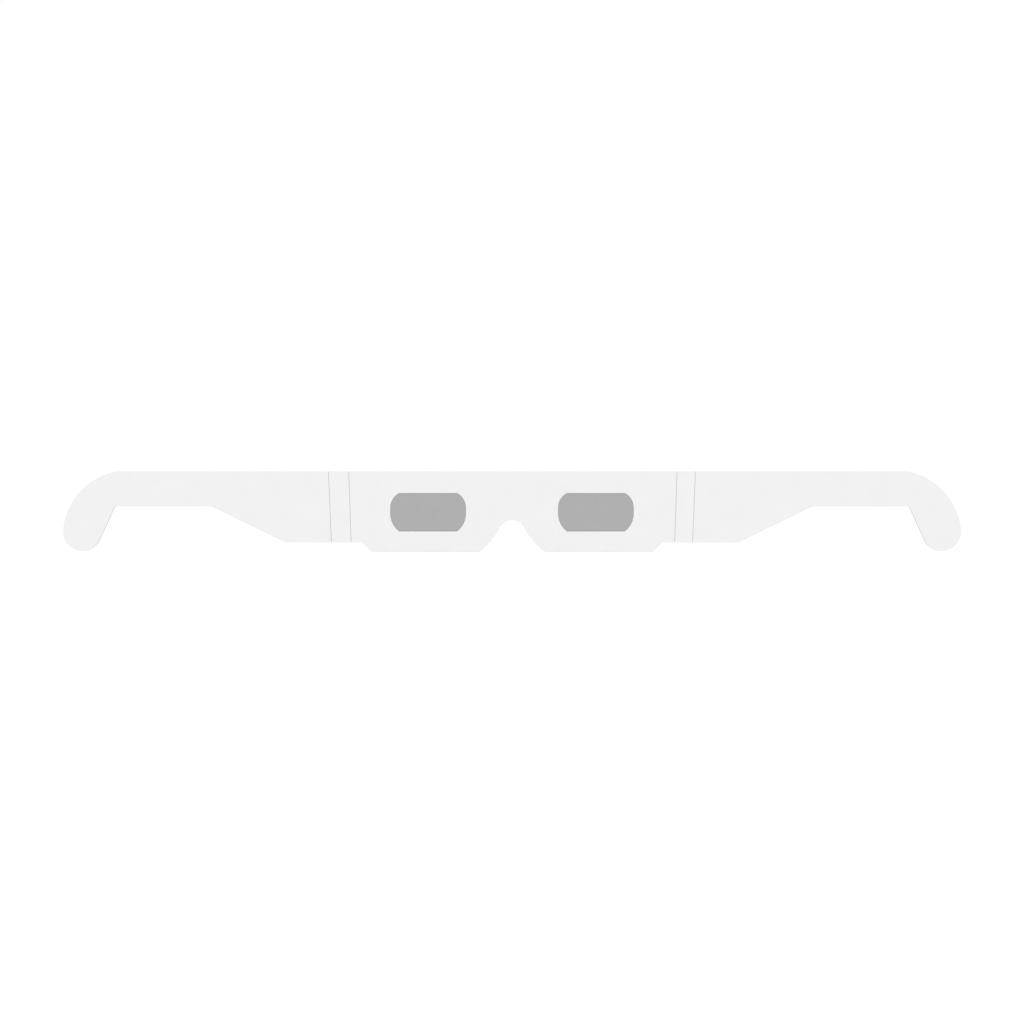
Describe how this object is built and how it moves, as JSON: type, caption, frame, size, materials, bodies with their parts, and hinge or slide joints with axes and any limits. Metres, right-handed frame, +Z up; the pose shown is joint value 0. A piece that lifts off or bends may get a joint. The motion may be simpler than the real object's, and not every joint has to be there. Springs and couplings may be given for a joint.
{
  "type": "eclipse glasses",
  "caption": "Plain white paper eclipse glasses opened out flat, with silver lens film, nose notch and folding temples that end in ear hooks.",
  "frame": {"origin": "top of the nose notch, on the inner face of the outer ply, where the bridge sits on the nose", "axes": "+X along the sheet towards the wearer's left, +Z up as worn, -Y away from the wearer out of the outer face"},
  "size_m": [0.3862, 0.0009, 0.0347],
  "materials": {
    "white_card": "matte",
    "silver_film": "satin",
    "black_film": "gloss",
    "glue": "matte"
  },
  "bodies": {
    "front": {"front_panel": "white_card", "back_flap": "white_card", "flap_adhesive": "glue", "left_chin_fold": "white_card", "right_chin_fold": "white_card", "left_lens_film": "silver_film", "left_backing_film": "black_film", "right_lens_film": "silver_film", "right_backing_film": "black_film", "left_inner_crease": "white_card", "right_inner_crease": "white_card"},
    "left_side_strip": {"left_side_strip": "white_card", "left_outer_crease": "white_card"},
    "left_temple": {"left_temple": "white_card"},
    "right_side_strip": {"right_side_strip": "white_card", "right_outer_crease": "white_card"},
    "right_temple": {"right_temple": "white_card"}
  },
  "joints": [
    {"name": "left_inner_fold", "type": "hinge", "parent": "front", "child": "left_side_strip", "pos_m": [0.0705, 0, 0.00565], "axis": [0.0349, 0, 0.9994], "range_deg": [0, 90], "deforming": ["left_inner_crease"]},
    {"name": "left_outer_fold", "type": "hinge", "parent": "left_side_strip", "child": "left_temple", "pos_m": [0.07829, 0, 0.00565], "axis": [0.0419, 0, 0.9991], "range_deg": [0, 90], "deforming": ["left_outer_crease"]},
    {"name": "right_inner_fold", "type": "hinge", "parent": "front", "child": "right_side_strip", "pos_m": [-0.0697, 0, 0.00565], "axis": [0.0349, 0, -0.9994], "range_deg": [0, 90], "deforming": ["right_inner_crease"]},
    {"name": "right_outer_fold", "type": "hinge", "parent": "right_side_strip", "child": "right_temple", "pos_m": [-0.07829, 0, 0.00565], "axis": [0.0419, 0, -0.9991], "range_deg": [0, 90], "deforming": ["right_outer_crease"]}
  ]
}
